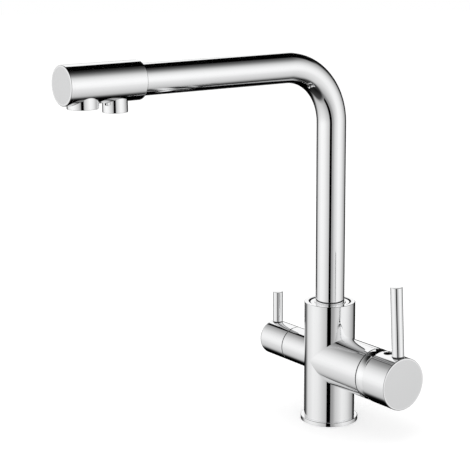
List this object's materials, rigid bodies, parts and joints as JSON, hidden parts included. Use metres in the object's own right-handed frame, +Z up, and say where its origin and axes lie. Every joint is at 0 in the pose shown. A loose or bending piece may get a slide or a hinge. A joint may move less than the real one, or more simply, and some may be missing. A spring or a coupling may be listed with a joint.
{
  "type": "three way filtered water tap",
  "caption": "Deck mounted kitchen mixer tap with a tall swivel spout, a side lever for hot and cold water, and a second handle and outlet for filtered water.",
  "frame": {"origin": "centre of the column's underside, on the worktop", "axes": "+Z up the column, spout towards -Y, mixer handle towards +X, filter handle towards -X"},
  "size_m": [0.1808, 0.2873, 0.3334],
  "materials": {
    "chrome": "polished chrome plate",
    "brass": "machined",
    "steel": "plain stainless steel",
    "rubber": "moulded, dull",
    "plastic": "moulded acetal",
    "clear_plastic": "extruded food grade polyethylene",
    "ceramic_grey": "lapped alumina"
  },
  "bodies": {
    "tap_body": {"body_casting": "chrome", "base_ring": "chrome", "base_seal": "rubber", "spout_glide_ring": "plastic", "spout_lock_screw": "steel", "mixer_cartridge_base": "plastic", "mixer_cartridge_seals": "rubber", "mixer_cartridge_case": "plastic", "mixer_fixed_disc": "ceramic_grey", "mixer_retaining_nut": "brass", "mixer_trim_ring": "chrome", "filter_valve_seal": "rubber", "filter_valve_body": "brass", "filter_fixed_disc": "ceramic_grey"},
    "mixer_guide": {"mixer_lever_guide": "plastic", "mixer_pivot_pin": "steel"},
    "mixer_disc": {"mixer_disc_carrier": "plastic", "mixer_moving_disc": "ceramic_grey"},
    "mixer_handle": {"mixer_stem": "brass", "mixer_handle_hub": "chrome", "mixer_lever_rod": "chrome", "mixer_grub_screw": "steel"},
    "filter_handle": {"filter_moving_disc": "ceramic_grey", "filter_spindle": "brass", "filter_spindle_o_ring": "rubber", "filter_handle_hub": "chrome", "filter_lever_rod": "chrome", "filter_grub_screw": "steel"},
    "spout": {"spout_tube": "chrome", "spout_collar": "chrome", "spout_base_sleeve": "brass", "spout_o_rings": "rubber", "spout_head": "chrome", "spout_end_cap": "chrome", "spout_cap_o_ring": "rubber", "filter_water_tube": "clear_plastic", "filter_tube_ferrule": "brass", "filter_tube_o_ring": "rubber", "filter_outlet_elbow": "brass", "filter_elbow_o_ring": "rubber", "main_aerator_housing": "chrome", "main_aerator_insert": "plastic", "main_aerator_washer": "rubber", "filter_aerator_housing": "chrome", "filter_aerator_insert": "plastic", "filter_aerator_washer": "rubber"}
  },
  "joints": [
    {"name": "spout_swivel", "type": "hinge", "parent": "tap_body", "child": "spout", "pos_m": [0, 0, 0.095], "axis": [0, 0, 1], "range_deg": [-180, 180]},
    {"name": "mixer_turn", "type": "hinge", "parent": "tap_body", "child": "mixer_guide", "pos_m": [0.062, 0, 0.057], "axis": [1, 0, 0], "range_deg": [-45, 45]},
    {"name": "mixer_tilt", "type": "hinge", "parent": "mixer_guide", "child": "mixer_handle", "pos_m": [0.062, 0, 0.057], "axis": [0, 1, 0], "range_deg": [0, 25]},
    {"name": "mixer_disc_slide", "type": "slide", "parent": "mixer_guide", "child": "mixer_disc", "axis": [0, 0, 1], "range_m": [0, 0.0056]},
    {"name": "filter_turn", "type": "hinge", "parent": "tap_body", "child": "filter_handle", "pos_m": [-0.049, 0, 0.057], "axis": [1, 0, 0], "range_deg": [0, 90]}
  ],
  "couplings": [
    {"joint": "mixer_disc_slide", "follows": "mixer_tilt", "m_per_rad": 0.0126}
  ]
}
